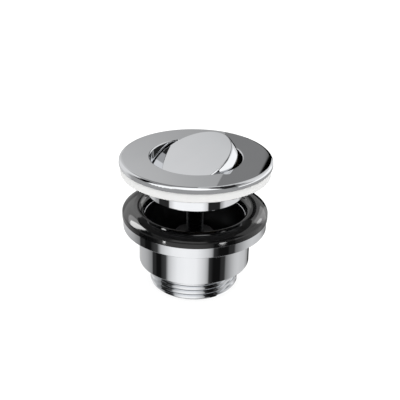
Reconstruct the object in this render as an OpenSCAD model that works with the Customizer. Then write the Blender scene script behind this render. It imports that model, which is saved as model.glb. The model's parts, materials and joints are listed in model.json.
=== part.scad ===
// Flip-top basin waste. A flanged upper body with a tilting plug sits in the basin,
// and one tie screw draws a threaded lower cup up against the basin's underside.
// Millimetres, +Z up. The origin is the centre of the tail's bottom face.
// The sizes are drawn as in the photograph: plug tilted open, clamp gap open.

/* [Upper body] */
// Radius of the visible flange
flange_r = 35; // [34.8:0.1:36.5]
// Thickness of the flange at its rim
flange_t = 2.6; // [2.4:0.1:3]
// Rounding of the flange's upper edge
rim_round = 1.75; // [1:0.05:1.9]
// Draft of the rim below that rounding, in degrees
rim_draft = 3; // [1:0.5:6]
// Radius of the drain hole in the flange
hole_r = 21; // [20.8:0.1:21.3]
// Rounding of the drain hole's upper edge
hole_round = 0.6; // [0.3:0.1:0.8]
// Wall of the barrel below the flange
barrel_wall = 1.25; // [1:0.05:1.4]
// Length of the barrel, from the flange's top face
barrel_l = 17.3; // [17.2:0.1:18]
// Thickness of the inward lip at the barrel's end
lip_t = 1; // [0.8:0.05:1.05]
// Radius of the opening inside that lip
lip_r = 16.6; // [16:0.1:17.2]
// Edge break at the barrel's lower end
barrel_edge = 0.4; // [0.2:0.05:0.6]

/* [Basin gasket] */
// Thickness of the white gasket under the flange
basin_gasket_t = 4.4; // [3:0.1:5]
// Step from the flange's rim in to the white gasket's rim
basin_gasket_step = 0.6; // [0.3:0.1:2]
// Rounding of the white gasket's lower rim
basin_gasket_round = 0.5; // [0.2:0.05:0.9]

/* [Plug] */
// Tilt of the plug from closed, 25.2 as photographed
open_angle = 25.2; // [0:0.2:30]
// Depth of the pivot below the flange's top face
pivot_depth = 6.2; // [6.1:0.05:6.5]
// Height of the plug's face above the pivot
face_h = 6; // [5.8:0.05:6.1]
// Gap all round between the plug's ball-shaped rim and the hole
plug_gap = 0.35; // [0.3:0.05:0.5]
// Height of the plug's bright rim
cap_side = 4.4; // [4.2:0.05:4.6]
// Thickness of the cap's top plate
cap_t = 1.5; // [1.2:0.05:1.55]
// Rounding of the plug face's edge
cap_round = 0.7; // [0.4:0.05:0.9]
// Width of the cap's skirt at its foot
cap_skirt = 2.3; // [1.8:0.05:2.6]
// Thickness of the lip seal under the cap
seal_t = 0.8; // [0.6:0.05:0.9]
// Thickness of the core's plate and of its foot ring
core_t = 1.25; // [1.1:0.05:1.3]
// Width of the core's ring wall
core_wall = 2.4; // [1.8:0.1:2.8]
// Distance of each plug screw from the plug's centre
plug_screw_x = 11; // [9.5:0.1:11.5]
// Radius of the plug screws' shanks
plug_screw_r = 1.5; // [1.2:0.05:1.6]
// Radius of the plug screws' heads
plug_head_r = 2.7; // [2.4:0.05:2.9]
// Height of the plug screws' heads
plug_head_h = 1.6; // [1.2:0.05:1.7]
// Rim of the washer past the plug screw's head
plug_washer_rim = 0.5; // [0.2:0.05:0.6]
// Thickness of the plug screws' washers
plug_washer_t = 0.6; // [0.4:0.05:0.7]
// Depth to which the plug screws enter the cap
plug_screw_bite = 0.8; // [0.5:0.05:0.85]

/* [Hinge] */
// Radius of the hinge pin
pin_r = 1.5; // [1.3:0.05:1.55]
// Running clearance of the pin and of the tie screw, all round
run_gap = 0.05; // [0.02:0.01:0.08]
// Wall of the plastic bush round the pin
bush_wall = 0.6; // [0.4:0.05:0.65]
// Outer radius of the pivot eyes and of the knuckle
eye_r = 2.85; // [2.75:0.05:2.9]
// Thickness of each ear
ear_t = 2.4; // [2:0.1:2.8]
// Thickness of each thrust washer
thrust_t = 0.6; // [0.4:0.05:0.7]
// Length of the pin past each ear
pin_end = 1.6; // [1.3:0.05:1.8]
// Depth of the clip grooves in the pin
pin_groove = 0.35; // [0.2:0.01:0.4]
// Thickness of the pin clips
clip_t = 0.6; // [0.4:0.05:0.65]
// Rim of each pin clip past the pin
clip_rim = 1.3; // [0.9:0.05:1.4]
// Width of the mouth in each pin clip
clip_mouth = 1.7; // [1.2:0.1:2]

/* [Bridge] */
// Width of the bridge's bar
bar_w = 8; // [6.5:0.1:9]
// Thickness of the bridge's bar
bar_t = 2.7; // [2:0.1:3.2]
// Outer radius of the bridge's hub
hub_r = 10.4; // [10.2:0.1:11]
// Drop of the hub below the barrel's end
hub_drop = 2.7; // [2.2:0.1:3.2]
// Thickness of the hub's floor
hub_floor_t = 4; // [3.6:0.1:4.2]
// Gap round the screw's head in its well
well_gap = 1.1; // [0.9:0.05:1.2]
// Gap between the well and each ear
ear_gap = 0.5; // [0.3:0.05:0.6]
// Thickness of the post that stops the plug when closed
post_t = 3; // [2.4:0.1:3.2]
// Width of that post and of its foot
post_w = 6; // [5:0.1:7]
// Gap between the post and the closed plug
post_gap = 0.3; // [0.2:0.05:0.4]

/* [Tie screw] */
// Radius of the tie screw, M8
tie_r = 4; // [3.5:0.1:4.2]
// Length of the screw's tip past the nut
tie_past = 2; // [1:0.1:3]
// Radius of the tie screw's head
tie_head_r = 6.5; // [6:0.1:6.9]
// Height of the tie screw's head
tie_head_h = 3.6; // [3:0.1:3.9]
// Thickness of the flat washer under the head
tie_washer_t = 1.2; // [0.8:0.05:1.3]
// Section radius of the ring seal in the hub
ring_seal_r = 0.75; // [0.5:0.05:0.8]
// Width of the slot in the head
slot_w = 1.6; // [1.2:0.1:2]
// Depth of the slot in the head
slot_d = 1.8; // [1.4:0.1:2]
// Edge break at the screw's head and tip
tie_edge = 0.7; // [0.4:0.05:0.9]
// Depth of the groove for the screw's clip
tie_groove = 0.7; // [0.5:0.05:0.8]
// Thickness of the screw's clip
tie_clip_t = 0.8; // [0.6:0.05:0.85]
// Rim of the screw's clip past the screw
tie_clip_rim = 2.2; // [1.6:0.1:2.6]
// Width of the mouth in the screw's clip
tie_clip_mouth = 4.6; // [3.6:0.1:5]

/* [Lower cup] */
// Radius of the tail, G 1 1/4 over the thread crests
tail_r = 20.955; // [20.4:0.005:21.5]
// Length of the tail
tail_l = 11.6; // [10.8:0.1:16]
// Radius of the waterway through the tail
tail_bore_r = 18.2; // [17.8:0.1:18.6]
// Radius of the cup's body
body_r = 26.1; // [25.6:0.1:27]
// Height of the cup's body
body_h = 18.1; // [17.6:0.1:20]
// Radius of the cup's flange
cup_flange_r = 33.5; // [32.5:0.1:34.2]
// Height of the cup's flange
cup_flange_h = 5; // [4:0.1:6]
// Radius of the cup's bore, which the barrel enters
cup_bore_r = 23.4; // [23.2:0.1:23.8]
// Thickness of the cup's floor
floor_t = 3; // [2.6:0.1:3.4]
// Thickness of the lip that holds the spider down
floor_lip_t = 1.3; // [1:0.1:1.6]
// Radius of the opening inside that lip
floor_lip_r = 15.4; // [14.8:0.1:16]
// Edge break at the cup flange's corners
cup_edge = 0.35; // [0.2:0.05:0.6]
// Edge break at the foot of the cup's body
body_edge = 0.5; // [0.2:0.05:0.8]
// Lead-in at the tail's end
tail_edge = 0.8; // [0.5:0.05:1]

/* [Clamp gasket] */
// Height of the black gasket on the cup's flange
clamp_gasket_h = 4.4; // [3.8:0.1:4.8]
// Overhang of the black gasket past the cup's flange
clamp_gasket_over = 0.4; // [0.1:0.05:0.8]
// Radius of the hole in the black gasket
clamp_gasket_hole = 23.6; // [23.2:0.1:24]
// Height of the black gasket's outer wall
gasket_wall = 2.5; // [2:0.1:3]
// How far down the wall the black gasket's outer edge is broken
gasket_edge = 0.3; // [0.1:0.05:0.5]
// Lean of that broken edge, in degrees
gasket_edge_lean = 26; // [20:1:40]
// Width of the flat on the black gasket's back
gasket_flat = 1.6; // [1:0.1:2]
// Rounding of the black gasket's inner edge
gasket_in_round = 3.4; // [2.6:0.1:3.6]
// Open gap for the basin's wall between the two gaskets
clamp_gap = 17.8; // [16:0.1:19]

/* [Lower spider] */
// Height of the spider's ring and arms
spider_h = 3; // [2.5:0.1:3.5]
// Width of the spider's ring
spider_ring_w = 2.3; // [1.8:0.1:2.6]
// Width of each spider arm
spider_arm_w = 3.4; // [2.6:0.1:4.2]
// Outer radius of the spider's hub
spider_hub_r = 9.2; // [9:0.1:9.8]
// Height of the spider's hub
spider_hub_h = 14.6; // [13.8:0.1:14.8]
// Width of the gusset on each arm
gusset_w = 2; // [1.4:0.1:2.4]
// Reach of each gusset out from the hub
gusset_reach = 4; // [3:0.1:4.2]
// Rise of each gusset above its arm
gusset_rise = 8; // [6:0.1:9]
// Thickness of the hub's roof over the nut
nut_roof = 1.5; // [1.2:0.05:1.8]
// Width across the flats of the nut
nut_flats = 13; // [12.5:0.1:13.2]
// Height of the nut
nut_h = 6.5; // [5.5:0.1:7]

/* [Hidden] */
$fn = 64;
seat_gap = 0.1;
pin_seat = 0.02;
over = 1;
cup_top = tail_l + body_h + cup_flange_h;
rim_z = cup_top + clamp_gasket_h + clamp_gap + basin_gasket_t + flange_t;
flange_under = rim_z - flange_t;
barrel_r = hole_r + barrel_wall;
barrel_end = rim_z - barrel_l;
lip_top = barrel_end + lip_t;
pivot_z = rim_z - pivot_depth;
ball_r = hole_r - plug_gap;
cap_foot = face_h - cap_side;
cap_foot_r = sqrt(ball_r * ball_r - cap_foot * cap_foot);
cap_bore_r = cap_foot_r - cap_skirt;
plate_top = face_h - cap_t;
plate_low = plate_top - core_t;
seal_low = cap_foot - seal_t;
core_low = seal_low - core_t * 0.8;
core_r = cap_bore_r - seat_gap;
core_bore_r = core_r - core_wall;
bore_r = tie_r + run_gap;
bar_top = lip_top + bar_t;
hub_low = barrel_end - hub_drop;
seat_z = hub_low + hub_floor_t;
head_low = seat_z + tie_washer_t + run_gap;
well_r = tie_head_r + well_gap;
ear_in = well_r + ear_gap;
knuckle_l = ear_in - thrust_t - 2 * seat_gap;
bush_r = pin_r + run_gap + bush_wall;
pin_half = ear_in + ear_t + pin_end;
clip_y = ear_in + ear_t + seat_gap;
floor_top = tail_l + floor_t;
spider_top = floor_top - floor_lip_t;
spider_low = spider_top - spider_h;
spider_r = tail_bore_r - seat_gap;
hub_top = spider_low + spider_hub_h;
nut_top = hub_top - nut_roof;
nut_low = nut_top - nut_h;
nut_corner_r = nut_flats / sqrt(3);
tie_tip = nut_low - tie_past;
clip_groove_r = tie_r - tie_groove;
plug_pilot_r = plug_screw_r - 0.4;

// A flat ring standing on z.
module ring(r_out, r_in, h, z) {
  translate([0, 0, z]) difference() {
    cylinder(r = r_out, h = h);
    translate([0, 0, -over]) cylinder(r = r_in, h = h + 2 * over);
  }
}

// A round bar along Y, from y0 to y1.
module bar_y(r, y0, y1) {
  translate([0, y0, 0]) rotate([-90, 0, 0]) cylinder(r = r, h = y1 - y0);
}

// A pair of the same piece, half a turn apart about Z.
module pair() {
  for (turn = [0, 180]) rotate([0, 0, turn]) children();
}

// Puts a piece drawn about the pivot into its tilted place.
module tilt() {
  translate([0, 0, pivot_z]) rotate([0, -open_angle, 0]) children();
}

// Flange, barrel and inward lip, turned in one piece.
module upper_body() {
  join = 0.01;
  draft_in = flange_t * tan(rim_draft);
  color([0.78, 0.79, 0.81]) rotate_extrude() difference() {
    union() {
      polygon([[lip_r, barrel_end], [barrel_r - barrel_edge, barrel_end],
        [barrel_r, barrel_end + barrel_edge], [barrel_r, rim_z], [lip_r, rim_z]]);
      translate([hole_r, flange_under]) square([flange_r - rim_round - hole_r, flange_t]);
      translate([flange_r - 2 * rim_round, flange_under])
        square([2 * rim_round, flange_t - rim_round]);
      translate([flange_r - rim_round, rim_z - rim_round]) intersection() {
        circle(r = rim_round);
        translate([-join, -join]) square(2 * rim_round);
      }
    }
    polygon([[flange_r, flange_under], [flange_r + rim_round, flange_under],
      [flange_r + rim_round, rim_z], [flange_r - draft_in, rim_z]]);
    translate([0, lip_top]) square([hole_r, barrel_l]);
    translate([hole_r - join, rim_z - hole_round]) difference() {
      square(hole_round + join);
      translate([hole_round + join, 0]) circle(r = hole_round);
    }
  }
}

// Soft flat gasket between the flange and the basin.
module basin_gasket() {
  out_r = flange_r - basin_gasket_step;
  in_r = barrel_r + seat_gap;
  edge = basin_gasket_round;
  color([0.93, 0.93, 0.93]) translate([0, 0, flange_under - basin_gasket_t])
    rotate_extrude() union() {
      translate([in_r, 0]) square([out_r - edge - in_r, basin_gasket_t]);
      translate([in_r, edge]) square([out_r - in_r, basin_gasket_t - edge]);
      translate([out_r - edge, edge]) circle(r = edge);
    }
}

// Bar with the hinge ears, the screw well and the stop for the closed plug.
module bridge() {
  reach = hole_r - 2 * seat_gap;
  post_x = core_bore_r + 4 * seat_gap;
  post_h = pivot_z + core_low - post_gap - lip_top;
  ear_h = pivot_z - lip_top;
  color([0.72, 0.6, 0.32]) difference() {
    union() {
      translate([0, 0, hub_low]) cylinder(r = hub_r, h = bar_top - hub_low);
      intersection() {
        translate([0, 0, lip_top]) cylinder(r = reach, h = bar_t);
        union() {
          translate([-bar_w / 2, -hole_r, lip_top]) cube([bar_w, 2 * hole_r, bar_t]);
          translate([0, -post_w / 2, lip_top]) cube([hole_r, post_w, bar_t]);
        }
      }
      translate([post_x, -post_w / 2, lip_top]) cube([post_t, post_w, post_h]);
      pair() {
        translate([-eye_r, ear_in, lip_top]) cube([2 * eye_r, ear_t, ear_h]);
        translate([0, 0, pivot_z]) bar_y(eye_r, ear_in, ear_in + ear_t);
      }
    }
    translate([0, 0, hub_low - over]) cylinder(r = bore_r, h = hub_floor_t + 2 * over);
    translate([0, 0, seat_z]) cylinder(r = well_r, h = bar_top);
    translate([0, 0, seat_z - 2 * ring_seal_r])
      cylinder(r = bore_r + 2 * ring_seal_r + 3 * seat_gap, h = hub_floor_t);
    translate([0, 0, pivot_z]) bar_y(pin_r + pin_seat, -hole_r, hole_r);
  }
}

// Hinge pin with a groove near each end for its clips.
module hinge_pin() {
  groove_end = clip_y + clip_t + seat_gap;
  color([0.7, 0.7, 0.72]) translate([0, 0, pivot_z]) {
    bar_y(pin_r, -clip_y, clip_y);
    bar_y(pin_r - pin_groove, -pin_half, pin_half);
    pair() bar_y(pin_r, groove_end, pin_half);
  }
}

// Spring clips in the pin's grooves, with their mouths down.
module pin_clips() {
  out_r = pin_r + clip_rim;
  from = clip_y + seat_gap / 2;
  color([0.5, 0.5, 0.52]) translate([0, 0, pivot_z]) pair() difference() {
    bar_y(out_r, from, from + clip_t);
    bar_y(pin_r - pin_groove + pin_seat, from - over, from + clip_t + over);
    translate([-clip_mouth / 2, from - over, -out_r - over])
      cube([clip_mouth, clip_t + 2 * over, out_r + over]);
  }
}

// Rubber ring that seals the tie screw in the hub.
module ring_seal() {
  middle_r = bore_r + ring_seal_r + 3 * seat_gap - pin_seat;
  color([0.05, 0.05, 0.05]) translate([0, 0, seat_z - ring_seal_r])
    rotate_extrude() translate([middle_r, 0]) circle(r = ring_seal_r - pin_seat, $fn = 24);
}

// Bright cap: flat face, rim shaped as a ball about the pivot, hollow below.
module plug_cap() {
  edge_y = face_h - cap_round;
  edge_x = sqrt((ball_r - cap_round) * (ball_r - cap_round) - edge_y * edge_y);
  turn_y = edge_y * ball_r / (ball_r - cap_round);
  color([0.8, 0.81, 0.83]) tilt() difference() {
    rotate_extrude() difference() {
      union() {
        intersection() {
          circle(r = ball_r, $fn = 128);
          translate([0, cap_foot]) square([ball_r, turn_y - cap_foot]);
        }
        translate([0, cap_foot]) square([edge_x, face_h - cap_foot]);
        translate([edge_x, edge_y]) circle(r = cap_round);
      }
      translate([0, cap_foot - over]) square([cap_bore_r, plate_top - cap_foot + over]);
    }
    pair() translate([plug_screw_x, 0, plate_top - over])
      cylinder(r = plug_pilot_r, h = over + plug_screw_bite + seat_gap, $fn = 24);
  }
}

// Plastic core: plate, ring wall, foot that holds the seal, and the hinge knuckle.
module plug_core() {
  foot_rim = 1;
  web_w = 1.6 * eye_r;
  color([0.12, 0.12, 0.13]) tilt() difference() {
    union() {
      translate([0, 0, plate_low]) cylinder(r = core_r, h = core_t);
      ring(core_r, core_bore_r, plate_top - core_low, core_low);
      ring(core_r + foot_rim, core_bore_r, seal_low - core_low, core_low);
      bar_y(eye_r, -knuckle_l, knuckle_l);
      translate([-web_w / 2, -knuckle_l, 0])
        cube([web_w, 2 * knuckle_l, plate_low + core_t / 2]);
    }
    bar_y(bush_r + pin_seat, -hole_r, hole_r);
    pair() translate([plug_screw_x, 0, 0])
      cylinder(r = plug_screw_r + 2 * seat_gap, h = face_h, $fn = 24);
  }
}

// Thin lip seal held between the cap's foot and the core's foot.
module plug_seal() {
  color([0.04, 0.04, 0.04]) tilt()
    ring(cap_foot_r - seat_gap / 2, core_r + seat_gap / 2, seal_t - pin_seat,
      seal_low + pin_seat / 2);
}

// Screws that hold the core up in the cap, one each side of the knuckle.
module plug_screws() {
  head_top = plate_low - plug_washer_t;
  shank_top = plate_top - seat_gap / 2;
  tip = plate_top + plug_screw_bite;
  color([0.7, 0.7, 0.72]) tilt() pair() translate([plug_screw_x, 0, 0]) {
    translate([0, 0, head_top - plug_head_h])
      cylinder(r = plug_head_r, h = plug_head_h, $fn = 32);
    translate([0, 0, head_top - plug_head_h / 2])
      cylinder(r = plug_screw_r, h = shank_top - head_top + plug_head_h / 2, $fn = 24);
    translate([0, 0, head_top - plug_head_h / 2])
      cylinder(r = plug_pilot_r - pin_seat, h = tip - head_top + plug_head_h / 2, $fn = 24);
  }
}

// Washers under the heads of the plug screws.
module plug_washers() {
  color([0.72, 0.72, 0.7]) tilt() pair() translate([plug_screw_x, 0, 0])
    ring(plug_head_r + plug_washer_rim, plug_screw_r + seat_gap, plug_washer_t,
      plate_low - plug_washer_t);
}

// Plastic bush in the knuckle.
module hinge_bush() {
  color([0.9, 0.9, 0.88]) tilt() difference() {
    bar_y(bush_r, -knuckle_l, knuckle_l);
    bar_y(pin_r + run_gap, -hole_r, hole_r);
  }
}

// Thrust washers between the knuckle and the ears.
module thrust_washers() {
  from = knuckle_l + pin_seat;
  color([0.88, 0.88, 0.86]) tilt() pair() difference() {
    bar_y(eye_r, from, from + thrust_t);
    bar_y(pin_r + run_gap, 0, hole_r);
  }
}

// Tie screw with a slotted head, broken edges and a groove for its clip.
module tie_screw() {
  head_top = head_low + tie_head_h;
  groove_h = tie_clip_t + 2 * seat_gap;
  color([0.74, 0.74, 0.76]) difference() {
    rotate_extrude() polygon([[0, tie_tip], [tie_r - tie_edge, tie_tip],
      [tie_r, tie_tip + tie_edge], [tie_r, head_low], [tie_head_r, head_low],
      [tie_head_r, head_top - tie_edge], [tie_head_r - tie_edge, head_top], [0, head_top]]);
    translate([-tie_head_r - over, -slot_w / 2, head_top - slot_d])
      cube([2 * (tie_head_r + over), slot_w, slot_d + over]);
    ring(tie_r + over, clip_groove_r, groove_h, hub_low - seat_gap - groove_h);
  }
}

// Flat washer under the tie screw's head.
module tie_washer() {
  color([0.78, 0.66, 0.36])
    ring(well_r - 4 * seat_gap, bore_r, tie_washer_t, seat_z + run_gap);
}

// Spring clip that keeps the tie screw in the bridge.
module tie_clip() {
  out_r = tie_r + tie_clip_rim;
  low = hub_low - 2 * seat_gap - tie_clip_t;
  color([0.5, 0.5, 0.52]) difference() {
    ring(out_r, clip_groove_r + pin_seat, tie_clip_t, low);
    translate([0, -tie_clip_mouth / 2, low - over])
      cube([out_r + over, tie_clip_mouth, tie_clip_t + 2 * over]);
  }
}

// Lower cup: flange, body, floor with the spider's lip, and the threaded tail.
module lower_cup() {
  body_top = tail_l + body_h;
  color([0.76, 0.77, 0.79]) rotate_extrude() polygon([
    [cup_bore_r, cup_top], [cup_flange_r - cup_edge, cup_top],
    [cup_flange_r, cup_top - cup_edge], [cup_flange_r, body_top + cup_edge],
    [cup_flange_r - cup_edge, body_top], [body_r, body_top],
    [body_r, tail_l + body_edge], [body_r - body_edge, tail_l], [tail_r, tail_l],
    [tail_r, tail_edge], [tail_r - tail_edge, 0], [tail_bore_r, 0],
    [tail_bore_r, spider_top], [floor_lip_r, spider_top],
    [floor_lip_r, floor_top], [cup_bore_r, floor_top]]);
}

// Rubber clamp gasket: straight wall, crowned back with a flat, rounded inner edge.
module clamp_gasket() {
  join = 0.01;
  out_r = cup_flange_r + clamp_gasket_over;
  mid_r = clamp_gasket_hole + gasket_in_round;
  crown_r = mid_r + gasket_flat;
  foot_h = clamp_gasket_h - gasket_in_round;
  drop = clamp_gasket_h - gasket_wall;
  fall_w = out_r - crown_r;
  back_r = (fall_w * fall_w + drop * drop) / (2 * drop);
  low = back_r - clamp_gasket_h;
  edge_z = gasket_wall - gasket_edge;
  edge_in = (clamp_gasket_h - edge_z) * tan(gasket_edge_lean);
  color([0.05, 0.05, 0.055]) translate([0, 0, cup_top]) rotate_extrude() difference() {
    union() {
      translate([clamp_gasket_hole, 0]) square([crown_r - clamp_gasket_hole, foot_h]);
      translate([mid_r, 0]) square([crown_r - mid_r, clamp_gasket_h]);
      translate([mid_r, foot_h]) intersection() {
        circle(r = gasket_in_round);
        translate([-2 * gasket_in_round, -join]) square(2 * gasket_in_round + join);
      }
      translate([crown_r, -low]) intersection() {
        circle(r = back_r, $fn = 256);
        translate([-join, low]) square([fall_w + join, clamp_gasket_h]);
      }
    }
    polygon([[out_r, edge_z], [out_r + drop, edge_z],
      [out_r + drop, clamp_gasket_h], [out_r - edge_in, clamp_gasket_h]]);
  }
}

// Spider pulled up against the cup's lip, with a deep gusseted hub for the nut.
module lower_spider() {
  pocket_r = nut_corner_r + seat_gap;
  ring_in = spider_r - spider_ring_w;
  color([0.14, 0.14, 0.15]) difference() {
    union() {
      ring(spider_r, ring_in, spider_h, spider_low);
      translate([0, 0, spider_low]) cylinder(r = spider_hub_r, h = spider_hub_h);
      for (turn = [45 : 90 : 315]) rotate([0, 0, turn]) {
        translate([0, -spider_arm_w / 2, spider_low])
          cube([ring_in + spider_ring_w / 2, spider_arm_w, spider_h]);
        translate([spider_hub_r, gusset_w / 2, spider_top]) rotate([90, 0, 0])
          linear_extrude(gusset_w) polygon([[-over, -over], [gusset_reach, -over],
            [gusset_reach, 0], [0, gusset_rise], [-over, gusset_rise]]);
      }
    }
    translate([0, 0, spider_low - over])
      cylinder(r = pocket_r, h = nut_top - spider_low + over, $fn = 6);
    translate([0, 0, spider_low]) cylinder(r = tie_r + 5 * seat_gap, h = spider_hub_h + over);
  }
}

// Hexagon nut in the spider's hub, with its corners chamfered.
module spider_nut() {
  flat_r = nut_flats / 2;
  chamfer = (nut_corner_r - flat_r) * tan(30);
  color([0.78, 0.66, 0.36]) translate([0, 0, nut_low]) difference() {
    intersection() {
      cylinder(r = nut_corner_r, h = nut_h, $fn = 6);
      rotate_extrude() polygon([[0, 0], [flat_r, 0], [nut_corner_r, chamfer],
        [nut_corner_r, nut_h - chamfer], [flat_r, nut_h], [0, nut_h]]);
    }
    translate([0, 0, -over]) cylinder(r = bore_r, h = nut_h + 2 * over);
  }
}

upper_body();
basin_gasket();
bridge();
hinge_pin();
pin_clips();
ring_seal();
plug_cap();
plug_core();
plug_seal();
plug_screws();
plug_washers();
hinge_bush();
thrust_washers();
tie_screw();
tie_washer();
tie_clip();
lower_cup();
clamp_gasket();
lower_spider();
spider_nut();
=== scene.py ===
# %% [markdown]
# # A chrome flip-top basin waste
# A basin waste is the drain fitting in the floor of a wash basin. This one has a flat chrome
# flange, a thick plug that tilts open in it, a white gasket under the flange, and a chrome cup that
# one long screw draws up against the basin's underside.
#
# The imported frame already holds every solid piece, at its real size and on the body that carries
# it. This lesson adds what the frame leaves plain: the threads, the finish of each surface, and a
# small studio, because chrome looks like nothing but the room that it reflects.

# %% Load the frame
import json
import math

import bmesh
import bpy
from mathutils import Matrix, Vector


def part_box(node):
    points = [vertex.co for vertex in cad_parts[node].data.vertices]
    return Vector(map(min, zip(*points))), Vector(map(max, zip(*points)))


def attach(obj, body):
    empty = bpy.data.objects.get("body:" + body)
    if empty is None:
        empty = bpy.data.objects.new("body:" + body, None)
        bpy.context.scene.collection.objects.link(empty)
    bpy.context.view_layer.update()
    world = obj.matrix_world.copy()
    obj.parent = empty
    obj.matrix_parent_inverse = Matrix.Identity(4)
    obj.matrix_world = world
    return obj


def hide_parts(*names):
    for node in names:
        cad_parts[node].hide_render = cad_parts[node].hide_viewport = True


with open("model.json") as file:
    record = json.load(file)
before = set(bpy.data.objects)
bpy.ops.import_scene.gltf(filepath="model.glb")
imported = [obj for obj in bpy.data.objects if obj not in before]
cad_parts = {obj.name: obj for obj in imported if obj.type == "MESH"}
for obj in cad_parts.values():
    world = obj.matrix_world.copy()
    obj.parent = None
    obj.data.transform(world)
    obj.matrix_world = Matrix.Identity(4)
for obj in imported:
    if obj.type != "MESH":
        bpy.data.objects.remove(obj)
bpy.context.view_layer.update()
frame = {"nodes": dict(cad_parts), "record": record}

# %% [markdown]
# ## Units and small helpers
# Blender works in metres and the fitting is drawn in millimetres, so one factor turns the one into
# the other. Colours are written as the hex values that a screen shows. Shaders work with linear
# light, so one function turns hex to linear. A second one adds a shader node with its settings, its
# values and its links, and a third starts a material.

# %% Helpers for units, colours and nodes
MM = 0.001


def srgb(hex_colour):
    """The linear colour of a hex value such as #c0c0c0."""
    channels = [int(hex_colour[i : i + 2], 16) / 255 for i in (1, 3, 5)]
    linear = [c / 12.92 if c <= 0.04045 else ((c + 0.055) / 1.055) ** 2.4 for c in channels]
    return (*linear, 1.0)


def add(tree, kind, inputs=None, **settings):
    """Adds a shader node. A socket in inputs is linked, and any other value is set."""
    node = tree.nodes.new("ShaderNode" + kind)
    for name, value in settings.items():
        setattr(node, name, value)
    for name, value in (inputs or {}).items():
        if isinstance(value, bpy.types.NodeSocket):
            tree.links.new(value, node.inputs[name])
        else:
            node.inputs[name].default_value = value
    return node


def new_material(name):
    """A material with its node tree, its main shader and the object's own coordinates."""
    material = bpy.data.materials.new(name)
    material.use_nodes = True
    tree = material.node_tree
    place = add(tree, "TexCoord").outputs["Object"]
    return material, tree, tree.nodes["Principled BSDF"], place


def per_mm(size):
    """The scale of a pattern whose marks are this many millimetres apart."""
    return 1 / (size * MM)


# %% [markdown]
# ## What every finish needs
# No real surface has one flat colour and one even gloss. So each finish below has a pattern, of
# clouds or of rings, as large as on the real thing. The pattern leads the colour between two near
# shades, the roughness between two limits, and a very shallow bump.

# %% Helpers for finishes
def clouds(tree, place, size, detail):
    """A noise pattern whose marks are this many millimetres apart."""
    values = {"Vector": place, "Scale": per_mm(size), "Detail": detail}
    return add(tree, "TexNoise", values).outputs["Fac"]


def shades(tree, pattern, dark, light):
    """A colour between two hex values."""
    ramp = add(tree, "ValToRGB", {"Fac": pattern})
    ramp.color_ramp.elements[0].color = srgb(dark)
    ramp.color_ramp.elements[1].color = srgb(light)
    return ramp.outputs["Color"]


def spread(tree, pattern, low, high):
    """A value between two limits."""
    values = {"Value": pattern, "To Min": low, "To Max": high}
    return add(tree, "MapRange", values).outputs["Result"]


def relief(tree, pattern, strength, depth):
    """A bump with that strength, its depth in millimetres."""
    values = {"Height": pattern, "Strength": strength, "Distance": depth * MM}
    return add(tree, "Bump", values).outputs["Normal"]


def wire(tree, shader, colour, roughness, normal):
    """Links a finish's colour, roughness and bump to its shader."""
    tree.links.new(colour, shader.inputs["Base Color"])
    tree.links.new(roughness, shader.inputs["Roughness"])
    tree.links.new(normal, shader.inputs["Normal"])


# %% [markdown]
# ## Chrome plate
# The flange, the plug's cap and the cup are brass, turned, polished and plated with chrome. The
# plate is a neutral, slightly cool mirror. A perfect mirror looks false, so two soft clouds break
# it: a wide one in the colour, as on a plate of uneven thickness, and a finer one in the roughness,
# as the buffing wheel leaves it. A very shallow bump stands for the waviness of polished brass.

# %% Chrome plate on polished brass
CHROME_SHADES = ("#e8eaed", "#f0f1f3")
CHROME_ROUGHNESS = (0.006, 0.024)
CHROME_RELIEF = (0.02, 0.02)
PLATE_CLOUD_MM = 16
BUFFING_MM = 4
POLISH_WAVE_MM = 7


def chrome_plate():
    """Bright electroplate: a clear mirror with a faint buffing haze."""
    material, tree, shader, place = new_material("chrome plate on polished brass")
    colour = shades(tree, clouds(tree, place, PLATE_CLOUD_MM, detail=2), *CHROME_SHADES)
    rough = spread(tree, clouds(tree, place, BUFFING_MM, detail=4), *CHROME_ROUGHNESS)
    wave = relief(tree, clouds(tree, place, POLISH_WAVE_MM, detail=1), *CHROME_RELIEF)
    shader.inputs["Metallic"].default_value = 1.0
    wire(tree, shader, colour, rough, wave)
    return material


# %% [markdown]
# ## Rubber
# Both gaskets are moulded rubber. The white one is soft and matt, with a faint mottle from the
# filler. The black one comes from a polished mould, so it is as glossy as a dark sweet: its own
# colour is nearly black, and what shows is the room, weak from the front and strong at the edges.
# That is what the index of refraction does, so no extra node is needed for it.

# %% White and black rubber
WHITE_SHADES = ("#efefee", "#f7f7f6")
WHITE_ROUGHNESS = (0.5, 0.65)
WHITE_RELIEF = (0.15, 0.02)
WHITE_MOTTLE_MM = 3
WHITE_GRAIN_MM = 0.5
BLACK_SHADES = ("#060606", "#0c0c0d")
BLACK_ROUGHNESS = (0.05, 0.11)
BLACK_RELIEF = (0.05, 0.05)
BLACK_HAZE_MM = 5
BLACK_WAVE_MM = 9
RUBBER_IOR = 1.52


def white_rubber():
    """Soft white rubber from a matt mould."""
    material, tree, shader, place = new_material("moulded white rubber")
    mottle = clouds(tree, place, WHITE_MOTTLE_MM, detail=5)
    grain = relief(tree, clouds(tree, place, WHITE_GRAIN_MM, detail=2), *WHITE_RELIEF)
    colour = shades(tree, mottle, *WHITE_SHADES)
    wire(tree, shader, colour, spread(tree, mottle, *WHITE_ROUGHNESS), grain)
    return material


def black_rubber():
    """Glossy black rubber from a polished mould."""
    material, tree, shader, place = new_material("polished black rubber")
    haze = clouds(tree, place, BLACK_HAZE_MM, detail=4)
    wave = relief(tree, clouds(tree, place, BLACK_WAVE_MM, detail=1), *BLACK_RELIEF)
    colour = shades(tree, haze, *BLACK_SHADES)
    shader.inputs["IOR"].default_value = RUBBER_IOR
    wire(tree, shader, colour, spread(tree, haze, *BLACK_ROUGHNESS), wave)
    return material


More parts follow.
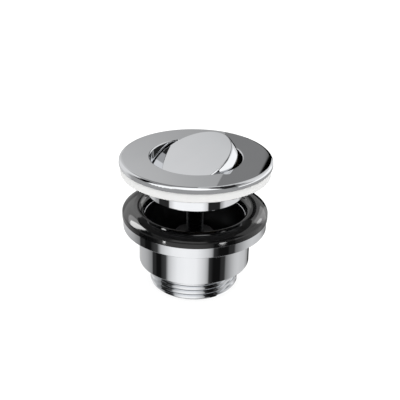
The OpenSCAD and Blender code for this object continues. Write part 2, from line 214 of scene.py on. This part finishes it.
# %% [markdown]
# ## The inner metals
# The bridge, the washer and the nut are plain cast brass, which is duller than the plated parts and
# has the grain of its mould. The pin, the clips and the screws are steel, turned on a lathe, so fine
# rings run round them. Their colour is kept dark as painted shade, so that the long screw stays as
# dark as the shaded gap that it stands in. The rings on the long screw stand across its axis, so the
# wave follows Z.

# %% Brass and steel
BRASS_SHADES = ("#6a5733", "#8f7847")
BRASS_ROUGHNESS = (0.42, 0.24)
BRASS_RELIEF = (0.3, 0.03)
CAST_GRAIN_MM = 0.7
TARNISH_MM = 5
# Dark steel shades: painted shade, so the long screw stays as dark as the shaded gap.
STEEL_SHADES = ("#2e2f31", "#3e3f41")
STEEL_ROUGHNESS = (0.3, 0.4)
STEEL_RELIEF = (0.1, 0.01)
LATHE_MM = 0.25
LATHE_WOBBLE = 0.6


def cast_brass():
    """Plain brass casting, tarnished."""
    material, tree, shader, place = new_material("cast brass")
    tarnish = clouds(tree, place, TARNISH_MM, detail=5)
    grain = relief(tree, clouds(tree, place, CAST_GRAIN_MM, detail=3), *BRASS_RELIEF)
    colour = shades(tree, tarnish, *BRASS_SHADES)
    shader.inputs["Metallic"].default_value = 1.0
    wire(tree, shader, colour, spread(tree, tarnish, *BRASS_ROUGHNESS), grain)
    return material


def turned_steel():
    """Steel off the lathe, with fine rings, in a colour darkened as painted shade."""
    material, tree, shader, place = new_material("turned steel darkened as painted shade")
    bands = {"Vector": place, "Scale": per_mm(LATHE_MM) / math.tau, "Distortion": LATHE_WOBBLE}
    wave = add(tree, "TexWave", bands, wave_type="BANDS", bands_direction="Z")
    rings = wave.outputs["Fac"]
    colour = shades(tree, rings, *STEEL_SHADES)
    rough = spread(tree, rings, *STEEL_ROUGHNESS)
    shader.inputs["Metallic"].default_value = 1.0
    wire(tree, shader, colour, rough, relief(tree, rings, *STEEL_RELIEF))
    return material


# %% [markdown]
# ## Moulded plastic
# The plug's core and the spider in the cup are black acetal, and the hinge bush and its washers
# are white acetal. Acetal comes out of the mould with a satin skin and a fine spark-eroded grain.

# %% Black and white acetal
ACETAL_ROUGHNESS = (0.3, 0.42)
ACETAL_RELIEF = (0.2, 0.01)
ACETAL_IOR = 1.48
SPARK_GRAIN_MM = 0.35


def acetal(name, dark, light):
    """Moulded acetal with a fine grain, between two close shades."""
    material, tree, shader, place = new_material(name)
    grain = clouds(tree, place, SPARK_GRAIN_MM, detail=3)
    colour = shades(tree, grain, dark, light)
    rough = spread(tree, grain, *ACETAL_ROUGHNESS)
    shader.inputs["IOR"].default_value = ACETAL_IOR
    wire(tree, shader, colour, rough, relief(tree, grain, *ACETAL_RELIEF))
    return material


# %% [markdown]
# ## Dressing the solids
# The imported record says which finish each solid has. One table turns the record's names into the
# materials above, and every solid takes its own from there.

# %% Give every solid its finish
finishes = {
    "chrome": chrome_plate(),
    "white_rubber": white_rubber(),
    "black_rubber": black_rubber(),
    "brass": cast_brass(),
    "steel": turned_steel(),
    "black_plastic": acetal("moulded black acetal", "#08080a", "#111114"),
    "white_plastic": acetal("moulded white acetal", "#dcdcd6", "#ecece8"),
}
for subpart in frame["record"]["subparts"]:
    mesh = frame["nodes"][subpart["node"]].data
    mesh.materials.clear()
    mesh.materials.append(finishes[subpart["material_slot"]])
print("finishes:", ", ".join(finishes))

# %% [markdown]
# ## Turned pieces
# A lathe turns an outline into a round piece, and spin does the same to a mesh. The outline is drawn
# as corners in millimetres, each with the radius of its rounding. It becomes one flat face first,
# because bevel can round the corners of a face. Then only its edges are spun once round the axis.

# %% Helpers for turned pieces
ROUND_STEPS = 192
CORNER_STEPS = 5
SHARP_ANGLE = math.radians(35)
WELD = 0.001


def spun(outline, steps=ROUND_STEPS):
    """A new bmesh: a closed outline of (radius, height, rounding) corners, spun once about Z."""
    bm = bmesh.new()
    corners = [bm.verts.new((radius * MM, 0, height * MM)) for radius, height, _ in outline]
    roundings = [rounding for _, _, rounding in outline]
    bm.faces.new(corners)
    for size in sorted({r for r in roundings if r}):
        bmesh.ops.bevel(
            bm, geom=[v for v, r in zip(corners, roundings) if r == size], offset=size * MM,
            affect="VERTICES", segments=CORNER_STEPS, profile=0.5, material=-1,
        )
    (sheet,) = bm.faces
    line = [*sheet.verts, *sheet.edges]
    bm.faces.remove(sheet)
    bmesh.ops.spin(
        bm, geom=line, cent=(0, 0, 0), axis=(0, 0, 1), angle=math.tau, steps=steps, use_merge=True
    )
    return bm


def finished(name, bm, body, slot, *stands_for):
    """Turns a bmesh into a piece that rides on a body, with crisp edges and its finish."""
    bmesh.ops.remove_doubles(bm, verts=bm.verts[:], dist=WELD * MM)
    bmesh.ops.recalc_face_normals(bm, faces=bm.faces[:])
    for face in bm.faces:
        face.smooth = True
    for edge in bm.edges:
        if len(edge.link_faces) == 2:
            edge.smooth = edge.calc_face_angle() < SHARP_ANGLE
    mesh = bpy.data.meshes.new(name)
    bm.to_mesh(mesh)
    bm.free()
    mesh.materials.append(finishes[slot])
    piece = bpy.data.objects.new(name, mesh)
    bpy.context.scene.collection.objects.link(piece)
    even = piece.modifiers.new("even shading", "WEIGHTED_NORMAL")
    even.keep_sharp = True
    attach(piece, body)
    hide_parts(*stands_for)
    print(name, "has", len(mesh.polygons), "faces and stands for", ", ".join(stands_for))


# %% [markdown]
# ## Threads
# A thread is one ridge wound round a shaft. Its section is a small trapezium with its foot sunk in
# the shaft. Spinning that face by several turns, with a small rise at each step, winds the ridge.
# The winding starts below the shaft, and a flat cut takes off what hangs over its end. A lead-in
# lets a nut find its way on: near the end the ridge's points are drawn in to a cone.

# %% Helper for a thread
RIDGE_STEPS = 72
FOOT_SUNK = 0.2


def thread(bm, pitch, root, crest, crest_w, root_w, bottom, top, lead):
    """Winds a right-hand ridge from bottom to top, all sizes in millimetres."""
    before = {*bm.verts, *bm.edges, *bm.faces}
    foot = (pitch - root_w) / 2
    tip = crest_w / 2
    upper_half = [(crest, tip), (root, foot), (root - FOOT_SUNK, foot)]
    lower_half = [(reach, -rise) for reach, rise in reversed(upper_half)]
    start = bottom - pitch
    section = [bm.verts.new((x * MM, 0, (start + z) * MM)) for x, z in lower_half + upper_half]
    face = bm.faces.new(section)
    turns = (top - start - foot) / pitch
    steps = round(turns * RIDGE_STEPS)
    bmesh.ops.spin(
        bm, geom=[face, *face.edges, *face.verts], cent=(0, 0, 0), axis=(0, 0, 1),
        dvec=(0, 0, turns * pitch * MM / steps), angle=turns * math.tau, steps=steps,
    )
    ridge = [part for kind in (bm.verts, bm.edges, bm.faces) for part in kind if part not in before]
    cut = bmesh.ops.bisect_plane(
        bm, geom=ridge, plane_co=(0, 0, bottom * MM), plane_no=(0, 0, 1), clear_inner=True
    )
    rims = [e for e in cut["geom_cut"] if isinstance(e, bmesh.types.BMEdge)]
    bmesh.ops.holes_fill(bm, edges=rims)
    for vert in bm.verts:
        reach = math.hypot(vert.co.x, vert.co.y)
        cone = (crest - max(0, bottom + lead - vert.co.z / MM)) * MM
        if vert not in before and reach > cone:
            vert.co.xy *= cone / reach


# %% [markdown]
# ## The threaded cup
# The cup screws on to a trap below, with the standard G 1 1/4 pipe thread: 11 threads to the inch,
# 41.91 mm over the crests. The solid carries a plain tail, so the cup is turned again here with its
# tail at the bottom of the thread, and the ridge is wound on it. The photograph's thread has wide
# flat crests, so the ridge is cut short there. Its upper end runs into the shoulder, as it does
# behind a die.

# %% Threaded cup
CUP_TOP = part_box("lower_cup")[1].z / MM
CUP_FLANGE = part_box("lower_cup")[1].x / MM
CUP_FLANGE_H = 5.0
CUP_BODY = 26.1
CUP_BORE = 23.4
TAIL_H = 11.6
TAIL_BORE = 18.2
CUP_FLOOR = 14.6
SPIDER_SEAT = 13.3
CUP_LIP = 15.4
BROKEN_EDGE = 0.3
SOFT_EDGE = 0.5
NECK_ROUND = 0.15
PIPE_CREST = 20.955
PIPE_PITCH = 25.4 / 11
PIPE_DEPTH = 1.2
PIPE_CREST_W = 1.0
PIPE_ROOT_W = 0.1
PIPE_LEAD = 1.0
PIPE_THREAD_TOP = 13.2

pipe_root = PIPE_CREST - PIPE_DEPTH
flange_low = CUP_TOP - CUP_FLANGE_H
cup_outline = [
    (CUP_BORE, CUP_TOP, BROKEN_EDGE),
    (CUP_FLANGE, CUP_TOP, BROKEN_EDGE),
    (CUP_FLANGE, flange_low, BROKEN_EDGE),
    (CUP_BODY, flange_low, NECK_ROUND),
    (CUP_BODY, TAIL_H, SOFT_EDGE),
    (pipe_root, TAIL_H, 0),
    (pipe_root, 0, SOFT_EDGE),
    (TAIL_BORE, 0, BROKEN_EDGE),
    (TAIL_BORE, SPIDER_SEAT, 0),
    (CUP_LIP, SPIDER_SEAT, NECK_ROUND),
    (CUP_LIP, CUP_FLOOR, BROKEN_EDGE),
    (CUP_BORE, CUP_FLOOR, SOFT_EDGE),
]
cup = spun(cup_outline)
thread(
    cup, PIPE_PITCH, pipe_root, PIPE_CREST, PIPE_CREST_W, PIPE_ROOT_W,
    bottom=0, top=PIPE_THREAD_TOP, lead=PIPE_LEAD,
)
finished("threaded_cup", cup, "cup", "chrome", "lower_cup")

# %% [markdown]
# ## Painted shade inside the cup
# The cup is chrome inside too, and there it would mirror the bright room. A thin black skin over the
# bore and the floor is painted shade, so that the gap below the flange looks black. It stops a
# little below the mouth, where a thin band of chrome shows.

# %% Painted shade over the cup's bore
SKIN = 0.15
SKIN_EDGE = 0.05
CHROME_BAND_AT_MOUTH = 0.1

skin_top = CUP_TOP - CHROME_BAND_AT_MOUTH
skin_floor = CUP_FLOOR + SKIN
skin_bore = CUP_BORE - SKIN
painted_shade_outline = [
    (CUP_BORE, skin_top, 0),
    (CUP_BORE, CUP_FLOOR, 0),
    (CUP_LIP, CUP_FLOOR, 0),
    (CUP_LIP, skin_floor, SKIN_EDGE),
    (skin_bore, skin_floor, 0),
    (skin_bore, skin_top, SKIN_EDGE),
]
# The black skin is painted shade over the chrome bore.
finished("cup_bore_painted_shade", spun(painted_shade_outline), "cup", "black_plastic", "lower_cup")

# %% [markdown]
# ## The tie screw
# One long M8 screw draws the cup up, and a plumber turns it from above with a wide screwdriver. The
# shank is turned first, with the groove for its spring clip, and the ridge is wound on its lower
# half. The slotted head needs no cutting: two half moons stand on a disc, their feet sunk in it, with
# the slot left between them.

# %% Tie screw with its thread
SCREW_TIP, SCREW_TOP = (corner.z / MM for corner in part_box("tie_screw"))
SCREW_STEPS = 64
SCREW_CREST = 4.0
SCREW_PITCH = 1.25
SCREW_ROOT = SCREW_CREST - 0.55 * SCREW_PITCH
SCREW_CREST_W = 0.18
SCREW_ROOT_W = 0.2
SCREW_LEAD = 0.8
SCREW_THREAD_TOP = 38.0
SCREW_ROUND = 0.2
TIP_TAPER = 0.4
TIP_H = 0.6
RUNOUT_H = 0.7
HEAD_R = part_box("tie_screw")[1].x / MM
HEAD_LOW = SCREW_TOP - 3.6
HEAD_UNDER_ROUND = 0.25
HEAD_TOP_ROUND = 0.3
SLOT_W = 1.6
SLOT_FLOOR = SCREW_TOP - 1.8
MOON_R = HEAD_R - 0.02
MOON_FOOT = SLOT_FLOOR - 0.2
CLIP_TOP = 43.75
CLIP_LOW = CLIP_TOP - 1.1
CLIP_GROOVE_R = 3.3

screw_outline = [
    (0, SCREW_TIP, 0),
    (SCREW_ROOT - TIP_TAPER, SCREW_TIP, SCREW_ROUND),
    (SCREW_ROOT, SCREW_TIP + TIP_H, 0),
    (SCREW_ROOT, SCREW_THREAD_TOP, 0),
    (SCREW_CREST, SCREW_THREAD_TOP + RUNOUT_H, SCREW_ROUND),
    (SCREW_CREST, CLIP_LOW, 0),
    (CLIP_GROOVE_R, CLIP_LOW, 0),
    (CLIP_GROOVE_R, CLIP_TOP, 0),
    (SCREW_CREST, CLIP_TOP, 0),
    (SCREW_CREST, HEAD_LOW, 0),
    (HEAD_R, HEAD_LOW, HEAD_UNDER_ROUND),
    (HEAD_R, SLOT_FLOOR, 0),
    (0, SLOT_FLOOR, 0),
]
screw = spun(screw_outline, SCREW_STEPS)
thread(
    screw, SCREW_PITCH, SCREW_ROOT, SCREW_CREST, SCREW_CREST_W, SCREW_ROOT_W,
    bottom=SCREW_TIP, top=SCREW_THREAD_TOP, lead=SCREW_LEAD,
)

# %% Half moons on the screw's head
moon_foot_level = Matrix.Translation((0, 0, MOON_FOOT * MM))
for side in (1, -1):
    before = set(screw.faces)
    disc = bmesh.ops.create_circle(
        screw, cap_ends=True, segments=SCREW_STEPS, radius=MOON_R * MM, matrix=moon_foot_level
    )["verts"]
    moon = {*disc}
    for vert in disc:
        moon.update(vert.link_edges, vert.link_faces)
    slot_wall = (0, side * SLOT_W / 2 * MM, 0)
    bmesh.ops.bisect_plane(
        screw, geom=list(moon), plane_co=slot_wall, plane_no=(0, side, 0), clear_inner=True
    )
    (base,) = set(screw.faces) - before
    made = bmesh.ops.extrude_face_region(screw, geom=[base], use_keep_orig=True)["geom"]
    raised = [v for v in made if isinstance(v, bmesh.types.BMVert)]
    bmesh.ops.translate(screw, verts=raised, vec=(0, 0, (SCREW_TOP - MOON_FOOT) * MM))
    top = next(f for f in made if isinstance(f, bmesh.types.BMFace))
    bmesh.ops.bevel(
        screw, geom=top.edges[:], offset=HEAD_TOP_ROUND * MM, affect="EDGES",
        segments=3, profile=0.5, material=-1,
    )
finished("threaded_tie_screw", screw, "screw", "steel", "tie_screw")

# %% [markdown]
# ## The camera
# The camera stands as the photographer did: a little to the left of the plug's rising side, looking
# down at about 26 degrees, with a long lens and a slight roll. It is built from those plain facts,
# in the frame's own axes.

# %% Camera
CAMERA_HEADING = math.radians(27)
CAMERA_PITCH = math.radians(26.075)
CAMERA_ROLL = math.radians(1.376)
CAMERA_DISTANCE = 372.54
CAMERA_FIELD = math.radians(28)
CAMERA_NEAR = 10
AIM_RIGHT = 2.217
AIM_HEIGHT = 41.72

right = Vector((math.cos(CAMERA_HEADING), -math.sin(CAMERA_HEADING), 0))
level = Vector((math.sin(CAMERA_HEADING), math.cos(CAMERA_HEADING), 0))
forward = level * math.cos(CAMERA_PITCH) - Vector((0, 0, math.sin(CAMERA_PITCH)))
above = right.cross(forward)
rolled_right = right * math.cos(CAMERA_ROLL) + above * math.sin(CAMERA_ROLL)
rolled_above = above * math.cos(CAMERA_ROLL) - right * math.sin(CAMERA_ROLL)
aim = (right * AIM_RIGHT + Vector((0, 0, AIM_HEIGHT))) * MM
camera = bpy.data.objects.new("camera", bpy.data.cameras.new("camera"))
bpy.context.scene.collection.objects.link(camera)
axes = Matrix((rolled_right, rolled_above, -forward)).transposed().to_4x4()
camera.matrix_world = Matrix.Translation(aim - forward * CAMERA_DISTANCE * MM) @ axes
camera.data.angle = CAMERA_FIELD
camera.data.clip_start = CAMERA_NEAR * MM
bpy.context.scene.camera = camera
print("camera at", [round(c / MM) for c in camera.location], "mm")

# %% [markdown]
# ## The floor
# The floor is a plain white sheet that keeps the object's soft shadow. Most of its brightness, as the
# camera sees it, is a plain white glow, so that it meets the white room with no horizon. Mirrors
# look past it into the room below, which the next step paints.

# %% Floor
FLOOR_SIZE = 4000
FLOOR_GLOW = 0.72
PAPER_SHADES = ("#f4f4f4", "#f8f8f8")
PAPER_WHITE = 1.04
FIBRE_MM = 8
WHITE = (1, 1, 1, 1)

floor_bm = bmesh.new()
bmesh.ops.create_grid(floor_bm, x_segments=2, y_segments=2, size=FLOOR_SIZE / 2 * MM)
floor_mesh = bpy.data.meshes.new("floor")
floor_bm.to_mesh(floor_mesh)
floor_bm.free()
floor = bpy.data.objects.new("floor", floor_mesh)
bpy.context.scene.collection.objects.link(floor)
floor.visible_glossy = False
floor.visible_diffuse = False
paper, tree, _, place = new_material("white paper sweep")
tone = shades(tree, clouds(tree, place, FIBRE_MM, detail=4), *PAPER_SHADES)
matt = add(tree, "BsdfDiffuse", {"Color": tone}).outputs["BSDF"]
glow = add(tree, "Emission", {"Color": WHITE, "Strength": PAPER_WHITE}).outputs["Emission"]
seen = add(tree, "LightPath").outputs["Is Camera Ray"]
part = add(tree, "Math", {0: seen, 1: FLOOR_GLOW}, operation="MULTIPLY").outputs["Value"]
look = add(tree, "MixShader", {0: part, 1: matt, 2: glow}).outputs["Shader"]
tree.links.new(look, tree.nodes["Material Output"].inputs["Surface"])
floor_mesh.materials.append(paper)

# %% [markdown]
# ## The room that the chrome sees
# A product photographer stands white sheets and black flags round a chrome object, and the eye reads
# the metal from their edges. Here they are painted on the world, for mirrors alone. All other
# surfaces are lit by an even white sky, and the camera sees plain white. A direction has a compass
# angle, 0 towards the camera, positive to its right and 180 behind the object, and a height above
# the horizon. Brightness 1 is white paper.
#
# The compass is cut open at the seam behind the object. The shiny floor of the room comes first, as
# one ramp over the compass: it shows the cards again, upside down, so it has a white middle between
# two dark strips.

# %% Compass and height of a direction
SEAM = 178.2

world = bpy.data.worlds.new("studio")
world.use_nodes = True
world.cycles.sampling_method = "NONE"
bpy.context.scene.world = world
tree = world.node_tree


def math_node(operation, *values):
    """The result of a sum on the world's sockets and plain values."""
    return add(tree, "Math", dict(enumerate(values)), operation=operation).outputs["Value"]


gaze = add(tree, "TexCoord").outputs["Generated"]
seam_turn = CAMERA_HEADING + math.radians(180 - SEAM)
facing = add(tree, "VectorRotate", {"Vector": gaze, "Angle": seam_turn}, rotation_type="Z_AXIS")
axis = add(tree, "SeparateXYZ", {"Vector": facing.outputs["Vector"]}).outputs
towards = math_node("MULTIPLY", axis["Y"], -1)
from_seam = math_node("DEGREES", math_node("ARCTAN2", axis["X"], towards))
compass = math_node("ADD", from_seam, SEAM - 180)
height = math_node("DEGREES", math_node("ARCSINE", axis["Z"]))

# %% The room's floor
FLOOR_RING = [
    # compass, brightness
    (-180, 0.62), (-124, 0.48), (-112, 0.40), (-97, 0.22), (-95, 0.03), (-85, 0.025), (-84, 0.006),
    (-73, 0.006), (-70, 0.025), (-60, 0.06), (-57, 0.28), (-53, 0.56), (-45, 0.76), (-33, 0.96),
    (-15, 1.02), (5, 0.98), (15, 0.80), (23, 0.63), (29, 0.40), (32, 0.04), (41, 0.006), (56, 0.006),
    (58, 0.025), (67, 0.035), (70, 0.20), (78, 0.34), (86, 0.48), (95, 0.60), (105, 0.66),
    (130, 0.58), (146, 0.36), (155, 0.03),
]

full_turn = {"Value": compass, "From Min": -180, "From Max": 180}
shine = add(tree, "ValToRGB", {"Fac": add(tree, "MapRange", full_turn).outputs["Result"]})
stops = shine.color_ramp.elements
while len(stops) < len(FLOOR_RING):
    stops.new(0.5)
for stop, (angle, bright) in zip(stops, FLOOR_RING):
    stop.position = (angle + 180) / 360
    stop.color = (bright, bright, bright, 1)
print("floor ring:", len(stops), "stops")

# %% [markdown]
# ## Cards and flags
# Each card is a window in compass and height, with soft edges, painted over what lies behind it.
# The order matters, as with paper: the large dim walls come first and the small black flags last.
# A card that leans moves along the compass by so many degrees for each degree of height.

# %% Cards round the object
WALL = 0.36
CARDS = {
    # name: (compass from, to, edge), (height from, to, edge), brightness, lean
    "back wall": ((-178, -110, 16), (-40, 48, 6), 0.58),
    "left glow": ((-150, -114, 20), (-20, 48, 10), 0.78),
    "back wall below": ((-200, -166, 10), (-40, 21.5, 8), 0.37),
    "front wall": ((-104, 78, 10), (-40, 42, 8), 0.34),
    "dim wall above": ((-200, 200, 1), (49, 100, 4), 0.28),
    "back wall top": ((-200, -156, 8), (34, 56, 6), 0.2),
    "sheet overhead": ((-200, 200, 1), (74, 100, 6), 1.1),
    "front softbox": ((-34, 44, 5), (38, 100, 8), 1.2),
    "left front softbox": ((-82, -32, 6), (28, 100, 8), 1.15),
    "left flag": ((-107, -78, 4), (25, 56, 4), 0.0),
    "left flag top": ((-128, -78, 4), (45, 57, 3), 0.0),
    "right flag": ((44, 73, 4), (27, 66, 4), 0.02),
    "right softbox": ((63, 150, 3), (-14, 20, 6), 1.08),
    "right softbox above": ((97, 140, 6), (18, 48.5, 4), 0.8),
    "right grey card": ((73, 97, 4), (18, 48.5, 4), 0.42),
    "right softbox top": ((113, 146, 5), (46, 58, 4), 0.75),
    "top flag": ((60, 165, 8), (60, 80, 4), 0.02),
    "top flag below": ((60, 112, 5), (49.5, 63, 3), 0.02),
    "right back wall": ((143, 158, 8), (-16, 53, 4), 0.76),
    "dim back wall": ((164, 200, 4), (-40, 49, 4), 0.22),
    "back wall above": ((146, 178, 4), (33, 54, 4), 0.68),
    "back flag": ((157, 174.7, 1), (-13, 29, 3), 0.0),
    "leaning flag": ((168, 175.9, 0.2), (20, 30, 2), 0.0, 0.5),
    "leaning seam": ((-190, -181.3, 0.1), (22, 28, 1), 0.22, 0.56),
    "right flag below": ((44, 61.5, 1.5), (0, 12, 3), 0.0),
    "low left strip": ((-95, -63, 4), (-32, -22.5, 1), 0.025),
    "low white sheet": ((-63, 31.5, 4), (-32, -22.5, 1), 0.66),
    "low white middle": ((-54, 24, 18), (-32, -22.5, 1), 1.07),
    "low right strip": ((31.5, 62, 4), (-32, -22.5, 1), 0.02),
    "low right sheet": ((70, 130, 16), (-32, -22.5, 1), 0.78),
}


def step(angle, start, end):
    """0 before start and 1 after end, or the other way round where start is the larger."""
    limits = {"Value": angle, "From Min": start, "From Max": end}
    return add(tree, "MapRange", limits, interpolation_type="SMOOTHSTEP").outputs["Result"]


def window(angle, start, end, edge):
    """1 between start and end, with soft edges of that many degrees."""
    opens = step(angle, start - edge / 2, start + edge / 2)
    shuts = step(angle, end + edge / 2, end - edge / 2)
    return math_node("MULTIPLY", opens, shuts)


def painted(mask, under, over):
    """The colour over where the mask is 1, and under where it is 0."""
    return add(tree, "MixRGB", {"Fac": mask, "Color1": under, "Color2": over}).outputs["Color"]


room = (WALL, WALL, WALL, 1)
for across, upright, bright, *lean in CARDS.values():
    angle = compass
    if lean:
        past = math_node("SUBTRACT", height, (upright[0] + upright[1]) / 2)
        angle = math_node("MULTIPLY_ADD", past, -lean[0], compass)
    mask = math_node("MULTIPLY", window(angle, *across), window(height, *upright))
    room = painted(mask, room, (bright, bright, bright, 1))
print("cards:", len(CARDS))

# %% [markdown]
# ## Which ray sees what
# Mirrors see the painted room. Every other ray sees plain white light, strong from above and weak
# from below. For the camera it is never darker than white paper.

# %% World for mirrors and for all else
FLOOR_EDGE = (-28.6, -27.6)
SKY_LIGHT = 1.9
GROUND_LIGHT = 0.08
HORIZON = 8

rays = add(tree, "LightPath").outputs
cards = painted(step(height, *FLOOR_EDGE), shine.outputs["Color"], room)
mirror_view = add(tree, "Background", {"Color": cards, "Strength": 1.0}).outputs["Background"]
sky = {
    "Value": height, "From Min": -HORIZON, "From Max": HORIZON,
    "To Min": GROUND_LIGHT, "To Max": SKY_LIGHT,
}
daylight = add(tree, "MapRange", sky).outputs["Result"]
plain_level = math_node("MAXIMUM", daylight, rays["Is Camera Ray"])
plain_view = add(tree, "Background", {"Color": WHITE, "Strength": plain_level}).outputs["Background"]
views = add(tree, "MixShader", {0: rays["Is Glossy Ray"], 1: plain_view, 2: mirror_view})
tree.links.new(views.outputs["Shader"], tree.nodes["World Output"].inputs["Surface"])
print("sky light", SKY_LIGHT, "and ground light", GROUND_LIGHT)

# %% [markdown]
# ## Small lamps for the black rubber
# Black rubber shows little of the room, so a photographer gives it lamps of its own, with snoots that
# keep their light off the chrome. Light linking is such a snoot: each lamp lights only the gasket.
# The large lamps stand far off, each in a direction and with a width and a tallness in degrees. The
# small ones stand close by, for the sparks on the front wall and on the edge of the hole. Brightness
# 1 is white paper.

# %% Lamps that only the gasket sees
LAMP_DISTANCE = 800
RUBBER_LAMPS = {
    # name: compass, height, width, tallness, brightness
    "left key": (-130, 41, 18, 20, 7.5),
    "left halo": (-139, 40, 34, 24, 1.6),
    "left fill": (-146, 34, 50, 40, 0.6),
    "right rim": (142, 31, 10, 9, 3.2),
    "right halo": (148, 26, 28, 22, 1.1),
    "right fill": (155, 22, 34, 32, 0.6),
}
SPARK_LAMPS = {
    # name: right, towards the camera, height, width, tallness, brightness
    "front left spark": (-44.6, 60.8, 12.7, 5, 1.6, 20),
    "front right spark": (44.6, 63.3, 12.3, 13, 1.8, 18),
    "left glint": (-14, 12.6, 46.2, 3.4, 1.6, 5),
    "middle glint": (3.4, 21.4, 46.2, 8.5, 1.2, 3),
    "right glint": (13.4, 14, 46.2, 2.8, 1.6, 3.5),
}
GASKET_MIDDLE = 29

rubber = bpy.data.collections.new("lit by the rubber lamps")
rubber.objects.link(frame["nodes"]["clamp_gasket"])
low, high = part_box("clamp_gasket")
gasket_centre = (low + high) / 2


def rubber_lamp(name, stand, wide, tall, bright):
    """An oval lamp that faces the gasket and lights nothing else, sizes in millimetres."""
    lamp = bpy.data.lights.new(name, "AREA")
    lamp.shape = "ELLIPSE"
    lamp.size = wide * MM
    lamp.size_y = tall * MM
    lamp.energy = bright * math.pi * lamp.size * lamp.size_y * math.pi / 4
    holder = bpy.data.objects.new(name, lamp)
    bpy.context.scene.collection.objects.link(holder)
    holder.location = stand * MM
    outward = Vector((stand.x, stand.y, 0)).normalized()
    ray = holder.location - gasket_centre - outward * GASKET_MIDDLE * MM
    holder.rotation_euler = ray.to_track_quat("Z", "Y").to_euler()
    holder.visible_camera = False
    holder.light_linking.receiver_collection = rubber


for name, (*angles, bright) in RUBBER_LAMPS.items():
    bearing, lift, wide, tall = (math.radians(angle) for angle in angles)
    ray = (right * math.sin(bearing) - level * math.cos(bearing)) * math.cos(lift)
    ray += Vector((0, 0, math.sin(lift)))
    across, upright = (2 * LAMP_DISTANCE * math.tan(angle / 2) for angle in (wide, tall))
    rubber_lamp(name, gasket_centre / MM + ray * LAMP_DISTANCE, across, upright, bright)
for name, (aside, near, up, wide, tall, bright) in SPARK_LAMPS.items():
    rubber_lamp(name, right * aside - level * near + Vector((0, 0, up)), wide, tall, bright)
print("rubber lamps:", len(RUBBER_LAMPS) + len(SPARK_LAMPS))

# %% [markdown]
# ## Colour management
# The Standard view shows a colour as it is written.

# %% View and the end
bpy.context.scene.view_settings.view_transform = "Standard"
